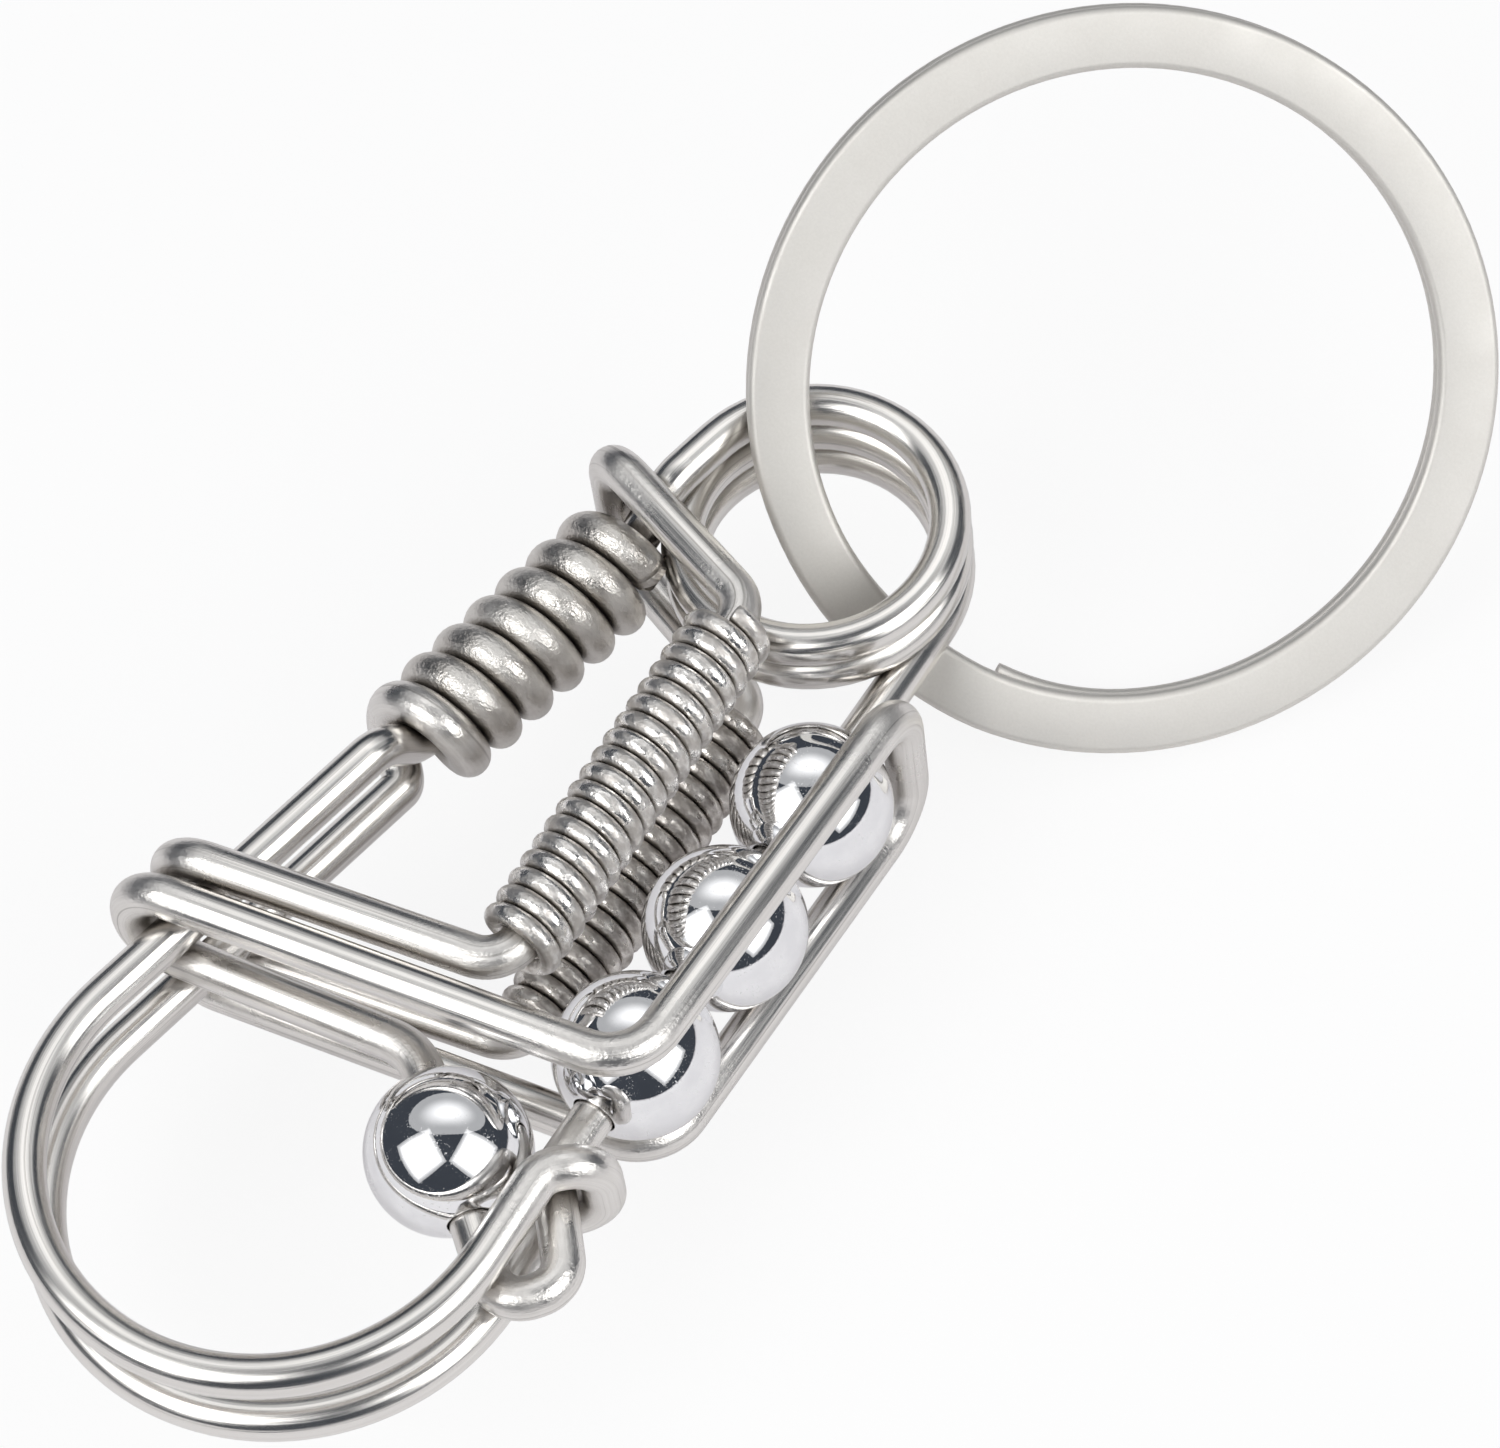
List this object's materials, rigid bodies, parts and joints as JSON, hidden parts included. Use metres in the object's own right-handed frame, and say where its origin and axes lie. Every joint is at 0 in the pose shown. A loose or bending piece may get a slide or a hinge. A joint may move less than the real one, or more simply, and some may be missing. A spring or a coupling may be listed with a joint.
{
  "type": "wire snap hook with split ring",
  "caption": "Hand-bent wire snap hook: sprung wire gate with threaded polished balls and sleeve springs, wound eye, doubled bow and a flat split ring for keys.",
  "frame": {"origin": "axis of the wound eye, at the hook's mid-plane", "axes": "+Z along the eye's axis, up when the hook lies flat; -Y from the eye towards the bow; +X towards the gate arm"},
  "size_m": [0.0431, 0.081, 0.0274],
  "materials": {
    "wire": "bright drawn",
    "ball": "polished",
    "spring": "satin",
    "ring": "satin"
  },
  "bodies": {
    "frame": {"eye_coil": "wire", "left_rail_front": "wire", "bow_front": "wire", "nose_hairpin": "wire", "bow_back": "wire", "left_rail_back": "wire", "binding_coil": "wire"},
    "gate": {"gate_arm": "wire", "nose_hook": "wire", "thumb_bar": "wire", "lower_wrap": "wire", "front_bar_lower": "wire", "cage_front_rail": "wire", "cage_top_bend": "wire", "cage_back_rail": "wire", "back_bar_lower": "wire", "upper_wrap": "wire", "front_bar_upper": "wire", "front_rod": "wire", "top_clip": "wire", "back_rod": "wire", "back_bar_upper": "wire"},
    "bead_1": {"ball_1": "ball"},
    "bead_2": {"ball_2": "ball"},
    "bead_3": {"ball_3": "ball"},
    "thumb_bead": {"thumb_ball": "ball"},
    "front_sleeve": {"front_spring": "spring"},
    "back_sleeve": {"back_spring": "spring"},
    "ring": {"split_ring": "ring"}
  },
  "joints": [
    {"name": "gate_swing", "type": "hinge", "parent": "frame", "child": "gate", "pos_m": [0, 0, 0], "axis": [0, 0, -1], "range_deg": [0, 15], "stiffness_Nm_per_rad": 0.1, "springref_deg": -5.73},
    {"name": "ball_1_spin", "type": "hinge", "parent": "gate", "child": "bead_1", "pos_m": [0.0064, -0.01173, -0.00186], "axis": [0, -0.9966, 0.0818], "continuous": true},
    {"name": "ball_2_spin", "type": "hinge", "parent": "gate", "child": "bead_2", "pos_m": [0.0064, -0.0195, -0.00122], "axis": [0, -0.9966, 0.0818], "continuous": true},
    {"name": "ball_3_spin", "type": "hinge", "parent": "gate", "child": "bead_3", "pos_m": [0.0064, -0.02727, -0.00059], "axis": [0, -0.9966, 0.0818], "continuous": true},
    {"name": "thumb_ball_spin", "type": "hinge", "parent": "gate", "child": "thumb_bead", "pos_m": [0.00171, -0.03561, 0], "axis": [0.7433, -0.669, 0], "continuous": true},
    {"name": "front_spring_spin", "type": "hinge", "parent": "gate", "child": "front_sleeve", "pos_m": [0.0007, -0.0173, 0.0046], "axis": [0, 1, 0], "continuous": true},
    {"name": "back_spring_spin", "type": "hinge", "parent": "gate", "child": "back_sleeve", "pos_m": [-0.0001, -0.0173, -0.00501], "axis": [0, 1, 0], "continuous": true},
    {"name": "ring_swing", "type": "hinge", "parent": "frame", "child": "ring", "pos_m": [0, 0, -0.001], "axis": [0.5667, 0.7993, 0.1999], "range_deg": [0, 90]}
  ]
}
